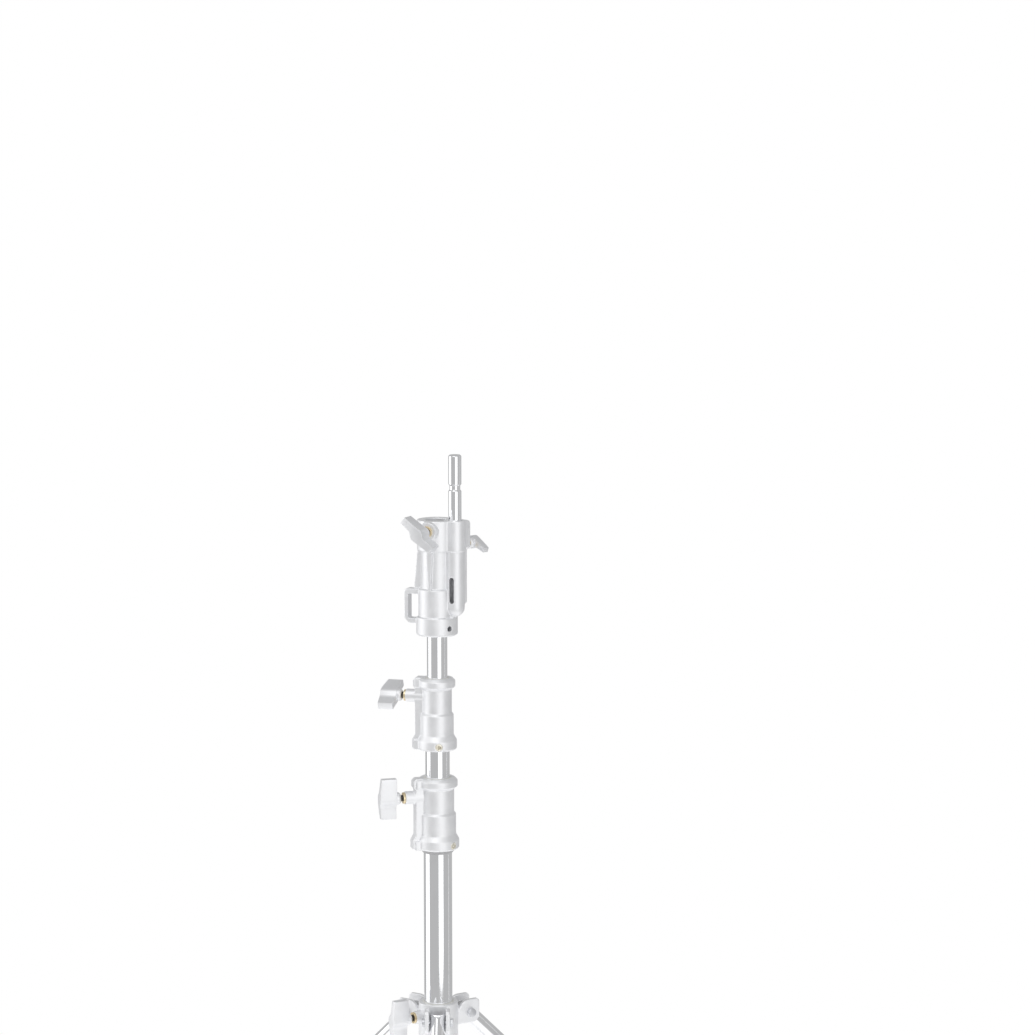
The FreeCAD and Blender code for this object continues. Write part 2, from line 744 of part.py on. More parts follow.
# ---------------------------------------------------------------- hubs, legs and braces
def leg_hub():
    """The sliding hub: a barrel with three forks for the legs, its nylon liner, bolts, nuts and clamping knob."""
    liner = "base_tube_radius + slip + liner_wall"
    gap = "leg_radius + leg_gap"
    middle = f"{gap} + ear_thickness / 2"
    solids = [cylinder("leg_hub_barrel", "hub_radius", "hub_length", ("0", "0", "- hub_length"))]
    holes = [cylinder("leg_hub_bore", liner, "hub_length", ("0", "0", "- hub_length"))]
    bolts, nuts = [], []
    brow = [
        (f"ear_reach - ear_flat - ear_curve * cos( {angle} )", f"pivot_drop * ( sin( {angle} ) - 1 )")
        for angle in (0, 22.5, 45, 67.5)
    ]
    outline = [
        ("ear_root", "- ear_length"),
        ("ear_root", "- pivot_drop"),
        *brow,
        ("ear_reach - ear_flat", "0"),
        ("ear_reach - ear_corner", "0"),
        ("ear_reach", "- ear_corner"),
        ("ear_reach", "ear_foot_corner - ear_length"),
        ("ear_reach - ear_foot_corner", "- ear_length"),
    ]
    for leg, step in LEGS.items():
        bearing = f"first_leg_turn + {step} - hub_knob_turn"
        turns = (("z", bearing),)
        for side, sign in (("left", "1"), ("right", "-1")):
            ear = plate(f"leg_hub_{leg}_{side}_ear", "XZ_Plane", outline, "ear_thickness")
            shift = around(f"{sign} * ( {middle} )", f"{bearing} + 90")
            solids.append(put(ear, (*shift, "0"), turns))
        pivot = (*around("pivot_radius", bearing), "- pivot_drop")
        half = f"( {gap} + ear_thickness )"
        start = f"leg_hub_{leg}_bolt"
        hole = cylinder(start + "_hole", "bolt_radius", f"2 * ( {half} + overrun )")
        shift = around(f"- {half} - overrun", f"{bearing} + 90")
        hole_start = (f"{pivot[0]} + {shift[0]}", f"{pivot[1]} + {shift[1]}", pivot[2])
        holes.append(put(hole, hole_start, (*turns, *ALONG["y"])))
        bolts.append(put(pivot_bolt(start, half), pivot, turns))
        nuts.append(put(pivot_nut(f"leg_hub_{leg}_nut", half), pivot, turns))
    knob_level = ("0", "0", "- hub_knob_drop")
    solids.append(cylinder("leg_hub_boss", "boss_radius", "hub_boss_reach", knob_level, "x"))
    holes.append(knob_hole("leg_hub_knob_hole", "hub_boss_reach", knob_level))
    at = ("0", "0", HUB_TOP)
    node(cut("leg_hub", fuse("leg_hub_solid", *solids), *holes), "leg_hub", at, "hub_knob_turn")
    node(group("leg_pivot_bolts", *bolts), "leg_pivot_bolts", at, "hub_knob_turn")
    node(group("leg_pivot_nuts", *nuts), "leg_pivot_nuts", at, "hub_knob_turn")
    sleeve = cylinder("leg_hub_liner_outside", liner, "hub_length", ("0", "0", "- hub_length"))
    bore = cylinder("leg_hub_liner_inside", "base_tube_radius + slip", "hub_length", ("0", "0", "- hub_length"))
    opening = knob_hole("leg_hub_liner_opening", "hub_boss_reach", knob_level)
    node(cut("leg_hub_liner", sleeve, bore, opening), "leg_hub_liner", at, "hub_knob_turn")
    knob("leg_hub", "base_tube_radius", "hub_boss_reach", ("0", "0", f"{HUB_TOP} - hub_knob_drop"),
         "hub_knob_turn", "hub_knob_roll")


def lower_hub():
    """The fixed hub at the foot of the base tube: three tongues for the braces, screws, bolts, nuts and an end cap."""
    tongue = "leg_radius"
    tongue_radius = "brace_width / 2 + tongue_rim"
    half = "( leg_radius + leg_gap + brace_thickness )"
    seat = f"( {half} + leg_gap )"
    solids = [cylinder("lower_hub_barrel", "lower_hub_radius", "lower_hub_length", ("0", "0", "- lower_hub_length / 2"))]
    holes = [cylinder("lower_hub_bore", "base_tube_radius", "lower_hub_length", ("0", "0", "- lower_hub_length / 2"))]
    screws, bolts, nuts = [], [], []
    for leg, step in LEGS.items():
        bearing = f"first_leg_turn + {step}"
        turns = (("z", bearing),)
        corner = around(tongue, f"{bearing} - 90")
        solids.append(block(f"lower_hub_{leg}_tongue", "pivot_radius", f"2 * {tongue}", f"2 * ( {tongue_radius} )",
                            (*corner, f"- ( {tongue_radius} )"), turns))
        pivot = (*around("pivot_radius", bearing), "0")
        start = around("pivot_radius", bearing)
        shift = around(tongue, f"{bearing} - 90")
        end = cylinder(f"lower_hub_{leg}_tongue_end", tongue_radius, f"2 * {tongue}")
        solids.append(put(end, (f"{start[0]} + {shift[0]}", f"{start[1]} + {shift[1]}", "0"), (*turns, *ALONG["y"])))
        hole = cylinder(f"lower_hub_{leg}_hole", "bolt_radius", f"2 * {tongue}")
        holes.append(put(hole, (f"{start[0]} + {shift[0]}", f"{start[1]} + {shift[1]}", "0"), (*turns, *ALONG["y"])))
        bolts.append(put(pivot_bolt(f"lower_hub_{leg}_bolt", seat), pivot, turns))
        nuts.append(put(pivot_nut(f"lower_hub_{leg}_nut", seat), pivot, turns))
        side = f"{bearing} + 60"
        screw_turns = (("z", side),)
        depth = "lower_screw_length - tube_wall"
        screw_hole = collar_screw(f"lower_hub_{leg}_screw_hole", "lower_hub_radius", depth, hole=True)
        holes.append(put(screw_hole, ZERO, screw_turns))
        screw = collar_screw(f"lower_hub_{leg}_screw", "lower_hub_radius", "lower_hub_radius - base_tube_radius")
        screws.append(put(screw, ZERO, screw_turns))
    at = ("0", "0", BRACE_PIVOT)
    node(cut("lower_hub", fuse("lower_hub_solid", *solids), *holes), "lower_hub", at)
    node(group("lower_hub_screws", *screws), "lower_hub_screws", at)
    node(group("brace_pivot_bolts", *bolts), "brace_pivot_bolts", at)
    node(group("brace_pivot_nuts", *nuts), "brace_pivot_nuts", at)
    cap = turned(
        "base_end_cap",
        [
            ("0", "0"),
            ("base_tube_radius - base_cap_edge", "0"),
            ("base_tube_radius + base_cap_edge", "2 * base_cap_edge"),
            ("base_tube_radius + base_cap_edge", "base_cap_length"),
            ("base_tube_radius - tube_wall", "base_cap_length"),
            ("base_tube_radius - tube_wall", "base_cap_length + base_cap_insert"),
            ("0", "base_cap_length + base_cap_insert"),
        ],
    )
    node(cap, "base_end_cap", ("0", "0", f"{BASE_END} - base_cap_length"))


def rounded_bar(name, radius):
    """A long upright bar whose top is rounded about the pivot, to trim a leg's tube and plug."""
    width = "4 * leg_radius"
    bar = block(name + "_bar", width, width, "leg_reach", ("- 2 * leg_radius", "- 2 * leg_radius", "- leg_reach"))
    end = cylinder(name + "_end", radius, width, ("0", "- 2 * leg_radius", "0"), "y")
    return fuse(name, bar, end)


def crossing(name, height):
    """A clearance hole for a pivot bolt, across a leg."""
    return cylinder(name, "bolt_radius + bolt_play", "4 * leg_radius", ("0", "- 2 * leg_radius", height), "y")


def brace_bar(name, start):
    """One flat bar of a brace, with rounded ends and its two holes."""
    blank = fuse(
        name + "_blank",
        block(name + "_bar", "brace_width", "brace_thickness", "brace_reach", ("- brace_width / 2", start, "0")),
        cylinder(name + "_foot", "brace_width / 2", "brace_thickness", ("0", start, "0"), "y"),
        cylinder(name + "_top", "brace_width / 2", "brace_thickness", ("0", start, "brace_reach"), "y"),
    )
    lower = cylinder(name + "_lower_hole", "bolt_radius + bolt_play", "brace_thickness", ("0", start, "0"), "y")
    upper = cylinder(name + "_upper_hole", "bolt_radius", "brace_thickness", ("0", start, "brace_reach"), "y")
    return cut(name, blank, lower, upper)


def legs():
    """Three legs, each a tube with a plug and a rubber foot, and three braces of two flat bars with a bolt and nut."""
    inner = "( leg_radius - leg_wall )"
    foot_seat = "foot_seat - leg_reach"
    length = "leg_reach + leg_radius - foot_seat"
    lean = (("y", "- leg_spread"),)
    rise = (("y", "leg_spread"),)
    for leg, step in LEGS.items():
        bearing = f"first_leg_turn + {step}"
        top = (*around("pivot_radius", bearing), LEG_PIVOT)

        name = f"leg_{leg}_tube"
        hollow = cut(
            name + "_hollow",
            cylinder(name + "_outside", "leg_radius", length, ("0", "0", foot_seat)),
            cylinder(name + "_inside", inner, length, ("0", "0", foot_seat)),
            crossing(name + "_top_hole", "0"),
            crossing(name + "_middle_hole", "- brace_reach"),
        )
        node(common(name, hollow, rounded_bar(name + "_trim", "leg_radius")), name, top, bearing, lean)

        name = f"leg_{leg}_plug"
        core = cylinder(name + "_core", inner, "leg_plug_length + leg_radius", ("0", "0", "- leg_plug_length"))
        drilled = cut(name + "_drilled", core, crossing(name + "_hole", "0"))
        node(common(name, drilled, rounded_bar(name + "_trim", "leg_radius")), name, top, bearing, lean)

        name = f"leg_{leg}_foot"
        shell = fuse(
            name + "_shell",
            ball(name + "_ball", "foot_radius", ("0", "0", "- leg_reach")),
            cylinder(name + "_sleeve", "foot_stand", "foot_length", ("0", "0", "- leg_reach")),
        )
        bore = cylinder(name + "_bore", "leg_radius", "foot_length", ("0", "0", foot_seat))
        across = "( leg_reach * sin( leg_spread ) - 3 * foot_radius )"
        down = f"( {LEG_PIVOT} + 3 * foot_radius )"
        corner = (
            f"{across} * cos( leg_spread ) - {down} * sin( leg_spread )",
            "- 3 * foot_radius",
            f"- {across} * sin( leg_spread ) - {down} * cos( leg_spread )",
        )
        ground = block(name + "_ground", "6 * foot_radius", "6 * foot_radius", "3 * foot_radius", corner, rise)
        node(cut(name, shell, bore, ground), name, top, bearing, lean)

        foot_point = (*around("pivot_radius", bearing), BRACE_PIVOT)
        name = f"brace_{leg}"
        left = brace_bar(name + "_left", "leg_radius + leg_gap")
        right = brace_bar(name + "_right", "- leg_radius - leg_gap - brace_thickness")
        node(group(name, left, right), name, foot_point, bearing, rise)

        half = "( leg_radius + leg_gap + brace_thickness )"
        bolt = pivot_bolt(f"{name}_bolt_body", half)
        nut = pivot_nut(f"{name}_nut_body", half)
        for piece in (bolt, nut):
            put(piece, ("0", "0", "brace_reach"))
        node(group(f"{name}_bolt", bolt, nut), f"{name}_bolt", foot_point, bearing, rise)


def column():
    """The three tubes, the guides at the feet of the two risers and the bumper under the base collar."""
    middle_foot = f"( {BASE_COLLAR} + collar_length - middle_overlap )"
    top_foot = f"( {MIDDLE_COLLAR} + collar_length - top_overlap )"
    seat = "guide_lip + slip"
    node(tube("base_tube", "base_tube_radius", BASE_END, f"{BASE_COLLAR} + collar_seat_depth"), "base_tube")
    node(tube("middle_riser_tube", "middle_tube_radius", f"{middle_foot} + {seat}",
              f"{MIDDLE_COLLAR} + collar_seat_depth"), "middle_riser_tube")
    node(tube("top_riser_tube", "top_tube_radius", f"{top_foot} + {seat}", f"{HEAD} + head_seat_depth"),
         "top_riser_tube")
    guide("middle_riser_guide", "base_tube_radius", "middle_tube_radius", middle_foot)
    guide("top_riser_guide", "middle_tube_radius", "top_tube_radius", top_foot)
    bumper = turned(
        "base_collar_bumper",
        [
            ("base_tube_radius", "0"),
            ("base_tube_radius + bumper_foot", "0"),
            ("bumper_radius", "bumper_length"),
            ("base_tube_radius", "bumper_length"),
        ],
    )
    node(bumper, "base_collar_bumper", ("0", "0", f"{BASE_COLLAR} - bumper_length"))


# ---------------------------------------------------------------- assembly
column()
collar("base", "middle_tube_radius", "base_tube_radius", BASE_COLLAR, "base_collar_turn", "base_screw_turn",
       "collar_knob_roll")
collar("middle", "top_tube_radius", "middle_tube_radius", MIDDLE_COLLAR, "middle_collar_turn", "middle_screw_turn",
       "middle_knob_roll")
head()
stud()
leg_hub()
lower_hub()
legs()
doc.recompute()

for item in doc.Objects:
    if {"Invalid", "Error"} & set(item.State):
        raise RuntimeError(f"{item.Name} failed: {item.State}")
for label, item in nodes.items():
    if item.Shape.isNull() or not item.Shape.isValid() or not item.Shape.Solids:
        raise RuntimeError(f"{label} has no valid solid")

os.makedirs("parts", exist_ok=True)
for label, item in nodes.items():
    item.Shape.exportStep(f"parts/{label}.step")
print(len(nodes), "sub-parts written")
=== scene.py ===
"""Looks of a folding combination light stand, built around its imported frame.

Lengths are metres in the row frame: +Z up, the origin on the floor under the column's axis.
"""

import json
import logging
import math
from dataclasses import dataclass, field
from enum import Enum

import bmesh
import bpy
from mathutils import Matrix, Vector
from mathutils.bvhtree import BVHTree

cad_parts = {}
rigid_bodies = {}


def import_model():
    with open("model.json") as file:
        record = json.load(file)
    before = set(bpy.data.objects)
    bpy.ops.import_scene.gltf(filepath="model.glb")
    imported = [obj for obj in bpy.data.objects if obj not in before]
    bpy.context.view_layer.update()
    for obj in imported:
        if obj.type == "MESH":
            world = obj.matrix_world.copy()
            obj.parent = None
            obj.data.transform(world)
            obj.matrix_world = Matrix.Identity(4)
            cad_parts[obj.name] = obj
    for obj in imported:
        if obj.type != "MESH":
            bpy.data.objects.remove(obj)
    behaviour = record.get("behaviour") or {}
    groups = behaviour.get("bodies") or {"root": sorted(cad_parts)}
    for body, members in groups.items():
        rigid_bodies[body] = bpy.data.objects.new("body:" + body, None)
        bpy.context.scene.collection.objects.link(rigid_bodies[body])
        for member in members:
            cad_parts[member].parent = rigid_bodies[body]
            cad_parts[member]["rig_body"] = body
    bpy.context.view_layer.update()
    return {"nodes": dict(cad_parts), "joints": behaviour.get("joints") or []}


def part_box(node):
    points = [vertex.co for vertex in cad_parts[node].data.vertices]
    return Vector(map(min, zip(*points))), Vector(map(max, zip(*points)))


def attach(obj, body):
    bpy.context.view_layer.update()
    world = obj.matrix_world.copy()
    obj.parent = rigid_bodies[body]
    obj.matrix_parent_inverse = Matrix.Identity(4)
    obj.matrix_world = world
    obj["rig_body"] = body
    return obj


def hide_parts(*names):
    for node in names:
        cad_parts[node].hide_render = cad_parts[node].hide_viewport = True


MM = 0.001
TURN = 2 * math.pi
WELD = 0.002 * MM
SPUN_WELD = 0.001 * MM
FLAT = math.radians(0.5)
Colour = tuple[float, float, float]
log = logging.getLogger("light_stand")
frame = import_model()


class Slot(Enum):
    """The finishes that the record names."""

    CAST = "cast_aluminium"
    BRIGHT = "bright_aluminium"
    CHROME = "chrome_tube"
    PLATED = "plated_steel"
    DARK = "dark_screw"
    YELLOW = "yellow_screw"
    BRASS = "brass"
    PLASTIC = "grey_plastic"
    NYLON = "white_nylon"
    RUBBER = "rubber"


# ---------------------------------------------------------------- shader graphs
class Signal:
    """A shader socket that takes part in ordinary arithmetic."""

    def __init__(self, graph: "Graph", socket: bpy.types.NodeSocket) -> None:
        """Wraps a socket of a graph."""
        self.graph = graph
        self.socket = socket

    def _math(self, operation: str, first: "Signal | float", second: "Signal | float") -> "Signal":
        """Adds one Math node."""
        return self.graph.add("ShaderNodeMath", {"operation": operation}, {0: first, 1: second})

    def __add__(self, other: "Signal | float") -> "Signal":
        """self + other."""
        return self._math("ADD", self, other)

    def __radd__(self, other: float) -> "Signal":
        """other + self."""
        return self._math("ADD", other, self)

    def __sub__(self, other: "Signal | float") -> "Signal":
        """self - other."""
        return self._math("SUBTRACT", self, other)

    def __rsub__(self, other: float) -> "Signal":
        """other - self."""
        return self._math("SUBTRACT", other, self)

    def __mul__(self, other: "Signal | float") -> "Signal":
        """self * other."""
        return self._math("MULTIPLY", self, other)

    def __rmul__(self, other: float) -> "Signal":
        """other * self."""
        return self._math("MULTIPLY", other, self)

    def __pow__(self, other: float) -> "Signal":
        """self ** other."""
        return self._math("POWER", self, other)

    def between(self, low: float, high: float) -> "Signal":
        """Rises smoothly from 0 at low to 1 at high, and stays there.

        Args:
            low: The value that gives 0.
            high: The value that gives 1; it may be under low.

        Returns:
            The eased and clamped signal.
        """
        inputs = {"Value": self, "From Min": low, "From Max": high}
        return self.graph.add("ShaderNodeMapRange", {"interpolation_type": "SMOOTHSTEP"}, inputs)


class Graph:
    """The node tree of one material, round a single Principled shader."""

    def __init__(self, material: bpy.types.Material) -> None:
        """Clears the material's tree and adds its shader and output."""
        material.use_nodes = True
        self.tree = material.node_tree
        self.tree.nodes.clear()
        self.shader = self.tree.nodes.new("ShaderNodeBsdfPrincipled")
        output = self.tree.nodes.new("ShaderNodeOutputMaterial")
        self.tree.links.new(self.shader.outputs["BSDF"], output.inputs["Surface"])

    def add(
        self, kind: str, settings: dict | None = None, inputs: dict | None = None, output: int | str = 0
    ) -> Signal:
        """Adds any node.

        Args:
            kind: The node's type.
            settings: Its own properties, which are set first.
            inputs: Values or signals for its sockets, by name or number.
            output: The socket that the signal reads.

        Returns:
            The signal of that output.
        """
        node = self.tree.nodes.new(kind)
        for name, value in (settings or {}).items():
            setattr(node, name, value)
        for key, value in (inputs or {}).items():
            self.feed(node.inputs[key], value)
        return Signal(self, node.outputs[output])

    def feed(self, socket: bpy.types.NodeSocket, value: "Signal | float | tuple") -> None:
        """Links a signal to a socket, or sets the socket's own value."""
        if isinstance(value, Signal):
            self.tree.links.new(value.socket, socket)
        else:
            socket.default_value = value

    def shade(self, **values: "Signal | float | tuple") -> None:
        """Feeds the shader's sockets, with underscores in place of spaces."""
        for name, value in values.items():
            self.feed(self.shader.inputs[name.replace("_", " ")], value)

    def noise(self, size: float, detail: float = 2.0, stretch: tuple = (1.0, 1.0, 1.0)) -> Signal:
        """A cloudy pattern fixed to the piece.

        Args:
            size: The width of its lumps, in metres.
            detail: How many finer layers it has.
            stretch: How much denser it is along each axis.

        Returns:
            Its value, about 0.5 on average.
        """
        place = self.add("ShaderNodeTexCoord", output="Object")
        scaled = self.add("ShaderNodeMapping", {}, {"Vector": place, "Scale": stretch})
        return self.add("ShaderNodeTexNoise", {}, {"Vector": scaled, "Scale": 1 / size, "Detail": detail})

    def pointiness(self) -> Signal:
        """How convex the surface is: 0.5 where it is flat."""
        return self.add("ShaderNodeNewGeometry", output="Pointiness")

    def tint(self, colour: Colour, strength: Signal) -> Signal:
        """A colour made lighter or darker by a signal."""
        return self.add("ShaderNodeVectorMath", {"operation": "SCALE"}, {0: colour, "Scale": strength})

    def blend(self, factor: Signal, first: "Signal | tuple", second: "Signal | tuple") -> Signal:
        """Mixes two colours."""
        return self.add("ShaderNodeMix", {"data_type": "RGBA"}, {0: factor, 6: first, 7: second}, output=2)

    def emboss(self, height: Signal, depth: float) -> None:
        """Raises the surface by a pattern of the given depth in metres."""
        bump = self.add("ShaderNodeBump", {}, {"Height": height, "Distance": depth, "Strength": 1.0})
        self.shade(Normal=bump)


@dataclass(frozen=True)
class Finish:
    """A surface finish, which paints a material once and then shares it."""

    slot: Slot
    colour: Colour
    roughness: float

    def paint(self, graph: Graph) -> None:
        """Draws the finish in a material's graph."""
        raise NotImplementedError

    def material(self) -> bpy.types.Material:
        """Gives the finish's material, painted at its first use."""
        name = f"{self.slot.value}_{type(self).__name__}"
        known = bpy.data.materials.get(name)
        if known:
            return known
        fresh = bpy.data.materials.new(name)
        self.paint(Graph(fresh))
        return fresh


@dataclass(frozen=True)
class CastMetal(Finish):
    """Tumbled cast aluminium: a fine grain, cloudy tone, hollows made rougher and darkened as painted shade,
    and edges made brighter, partly as wear and partly as a painted highlight.
    """

    grain: float = 0.55 * MM
    depth: float = 0.045 * MM
    cloud: float = 16 * MM
    # How far the hollows are darkened: this is painted shade.
    hollow_painted_shade: float = 0.3

    def paint(self, graph: Graph) -> None:
        """Draws the casting's skin."""
        grain = graph.noise(self.grain, 3.0)
        cloud = graph.noise(self.cloud, 3.0)
        pits = graph.noise(2.6 * self.grain, 1.0).between(0.66, 0.74)
        bend = graph.pointiness()
        # rubbed picks out the convex edges: they are brightened partly as wear and partly as a painted
        # highlight, and made smoother.
        rubbed = bend.between(0.515, 0.58)
        # hollow picks out the concave hollows: they are darkened there as painted shade, and made rougher.
        hollow = bend.between(0.485, 0.40)
        # wear holds darker pits, painted shade in the hollows, and brighter edges that are partly wear and
        # partly a painted highlight.
        wear = 0.08 * rubbed - self.hollow_painted_shade * hollow - 0.05 * pits
        strength = 0.93 + 0.12 * cloud + 0.05 * grain + wear
        graph.shade(
            Base_Color=graph.tint(self.colour, strength),
            Metallic=1.0,
            Roughness=self.roughness + 0.14 * cloud + 0.06 * grain + 0.12 * hollow - 0.1 * rubbed,
        )
        graph.emboss(grain - 0.8 * pits, self.depth)


@dataclass(frozen=True)
class Chrome(Finish):
    """Bright chromium on drawn tube: faint lines along the column and a thin film of handling marks."""

    line: float = 1.1 * MM

    def paint(self, graph: Graph) -> None:
        """Draws the plating."""
        lines = graph.noise(self.line, 2.0, (1.0, 1.0, 0.02))
        film = graph.noise(22 * MM, 4.0).between(0.48, 0.72)
        rings = graph.noise(1.6 * MM, 1.0, (0.02, 0.02, 1.0)).between(0.62, 0.7)
        graph.shade(
            Base_Color=graph.tint(self.colour, 0.97 + 0.04 * lines - 0.03 * film),
            Metallic=1.0,
            Roughness=self.roughness + 0.05 * lines + 0.06 * film + 0.05 * rings,
        )
        graph.emboss(lines, 0.004 * MM)


@dataclass(frozen=True)
class Plating(Finish):
    """Plated steel: a fine crystalline spangle, with a second hue where the film is thicker."""

    second: Colour = (0.62, 0.63, 0.66)

    def paint(self, graph: Graph) -> None:
        """Draws the plated skin."""
        spangle = graph.noise(1.4 * MM, 2.0)
        patch = graph.noise(7 * MM, 2.0).between(0.38, 0.66)
        scratch = graph.noise(0.5 * MM, 1.0, (1.0, 1.0, 0.1)).between(0.6, 0.7)
        hue = graph.blend(patch, (*self.colour, 1.0), (*self.second, 1.0))
        graph.shade(
            Base_Color=hue,
            Metallic=1.0,
            Roughness=self.roughness + 0.16 * spangle + 0.08 * patch - 0.05 * scratch,
        )
        graph.emboss(spangle + 0.4 * scratch, 0.012 * MM)


@dataclass(frozen=True)
class Moulded(Finish):
    """Moulded plastic, nylon or rubber: a spark texture, matt scuffs and dust in its grain."""

    scuffed: Colour = (0.3, 0.3, 0.3)
    grain: float = 0.4 * MM
    depth: float = 0.03 * MM
    scuff: float = 0.25

    def paint(self, graph: Graph) -> None:
        """Draws the moulded skin."""
        grain = graph.noise(self.grain, 2.0)
        wear = graph.noise(9 * MM, 4.0).between(0.52, 0.78)
        rubbed = graph.pointiness().between(0.52, 0.6)
        mask = self.scuff * wear + 0.3 * rubbed
        hue = graph.blend(mask, (*self.colour, 1.0), (*self.scuffed, 1.0))
        graph.shade(Base_Color=hue, Roughness=self.roughness + 0.12 * grain + 0.1 * wear)
        graph.emboss(grain, self.depth)


CAST = CastMetal(Slot.CAST, (0.91, 0.915, 0.93), 0.43)
# The handles' hollows take a lighter painted shade.
BRIGHT = CastMetal(Slot.BRIGHT, (0.88, 0.885, 0.9), 0.42, depth=0.025 * MM, hollow_painted_shade=0.2)
CHROME = Chrome(Slot.CHROME, (0.93, 0.935, 0.95), 0.035)
PLATED = Plating(Slot.PLATED, (0.72, 0.73, 0.75), 0.24)
DARK = Plating(Slot.DARK, (0.16, 0.155, 0.15), 0.34, (0.11, 0.115, 0.13))
YELLOW = Plating(Slot.YELLOW, (0.9, 0.87, 0.77), 0.3, (0.86, 0.81, 0.68))
BRASS = Plating(Slot.BRASS, (0.86, 0.73, 0.48), 0.22, (0.78, 0.62, 0.38))
PLASTIC = Moulded(Slot.PLASTIC, (0.42, 0.42, 0.43), 0.42, (0.52, 0.52, 0.525))
NYLON = Moulded(Slot.NYLON, (0.8, 0.8, 0.77), 0.42, (0.7, 0.69, 0.65), depth=0.012 * MM)
RUBBER = Moulded(Slot.RUBBER, (0.03, 0.03, 0.031), 0.62, (0.13, 0.125, 0.12), grain=0.8 * MM, depth=0.08 * MM)
EVERY_FINISH = (CAST, BRIGHT, CHROME, PLATED, DARK, YELLOW, BRASS, PLASTIC, NYLON, RUBBER)
FINISHES = {finish.slot: finish for finish in EVERY_FINISH}


# ---------------------------------------------------------------- mesh helpers
def points_of(node: str) -> list[Vector]:
    """The vertices of a CAD node."""
    return [vertex.co.copy() for vertex in frame["nodes"][node].data.vertices]


def body_of(node: str) -> str:
    """The body that a CAD node rides on."""
    return frame["nodes"][node]["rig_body"]


def finish_of(node: str) -> Finish:
    """The finish that the record gives a CAD node."""
    return FINISHES[Slot(frame["nodes"][node].data.materials[0].name)]


def copy_of(node: str) -> bmesh.types.BMesh:
    """A copy of a CAD node's mesh with its loose triangles joined."""
    work = bmesh.new()
    work.from_mesh(frame["nodes"][node].data)
    bmesh.ops.remove_doubles(work, verts=work.verts, dist=WELD)
    return work


def flattened(node: str) -> bmesh.types.BMesh:
    """A copy of a CAD node's mesh with the triangles of each flat face joined into one face."""
    work = copy_of(node)
    bmesh.ops.dissolve_limit(work, angle_limit=FLAT, verts=work.verts, edges=work.edges)
    return work


def lathe(profile: list[tuple[float, float]], steps: int = 48) -> bmesh.types.BMesh:
    """Turns a closed profile about the X axis.

    Args:
        profile: Corners as (distance along the axis, radius).
        steps: The number of facets round the axis.

    Returns:
        The closed ring or solid.
    """
    work = bmesh.new()
    corners = [work.verts.new((along, 0.0, radius)) for along, radius in profile]
    sides = [work.edges.new(pair) for pair in zip(corners, corners[1:] + corners[:1])]
    bmesh.ops.spin(
        work, geom=corners + sides, cent=(0, 0, 0), axis=(1, 0, 0), angle=TURN, steps=steps, use_merge=True
    )
    bmesh.ops.remove_doubles(work, verts=work.verts, dist=SPUN_WELD)
    bmesh.ops.recalc_face_normals(work, faces=work.faces)
    return work


def soften(work: bmesh.types.BMesh, radius: float, segments: int = 3, angle: float = 32.0) -> None:
    """Rounds every edge that is sharper than an angle.

    Args:
        work: The mesh to round.
        radius: The width of the rounding.
        segments: The number of strips across it.
        angle: The least turn between two faces, in degrees, that is rounded.
    """
    limit = math.radians(angle)
    edges = [edge for edge in work.edges if len(edge.link_faces) == 2 and edge.calc_face_angle() > limit]
    bmesh.ops.bevel(
        work,
        geom=edges,
        offset=radius,
        segments=segments,
        profile=0.5,
        affect="EDGES",
        clamp_overlap=True,
        material=-1,
    )


def modified(work: bmesh.types.BMesh, kind: str, **settings: object) -> bmesh.types.BMesh:
    """Runs one modifier over a mesh.

    Args:
        work: The mesh, which is freed.
        kind: The modifier's type.
        settings: Its properties.

    Returns:
        The modified mesh.
    """
    mesh = bpy.data.meshes.new("work")
    work.to_mesh(mesh)
    work.free()
    holder = bpy.data.objects.new("work", mesh)
    bpy.context.scene.collection.objects.link(holder)
    modifier = holder.modifiers.new("work", kind)
    for name, value in settings.items():
        setattr(modifier, name, value)
    holder.update_tag()
    evaluated = holder.evaluated_get(bpy.context.evaluated_depsgraph_get())
    result = bmesh.new()
    result.from_mesh(evaluated.to_mesh())
    evaluated.to_mesh_clear()
    bpy.data.objects.remove(holder)
    bpy.data.meshes.remove(mesh)
    return result


def publish(
    work: bmesh.types.BMesh, name: str, finish: Finish, nodes: list[str], crease: float = 40.0
) -> bpy.types.Object:
    """Makes a finished piece that stands for CAD nodes of one body.

    Args:
        work: The piece's mesh, which is freed.
        name: The piece's name.
        finish: Its finish.
        nodes: The CAD nodes that it stands for.
        crease: The turn between faces, in degrees, that stays a visible edge.

    Returns:
        The new object.
    """
    mesh = bpy.data.meshes.new(name)
    work.to_mesh(mesh)
    work.free()
    mesh.shade_smooth()
    mesh.set_sharp_from_angle(angle=math.radians(crease))
    mesh.materials.append(finish.material())
    piece = bpy.data.objects.new(name, mesh)
    bpy.context.scene.collection.objects.link(piece)
    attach(piece, body_of(nodes[0]))
    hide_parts(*nodes)
    log.info("%s: %d faces, for %s", name, len(mesh.polygons), ", ".join(nodes))
    return piece


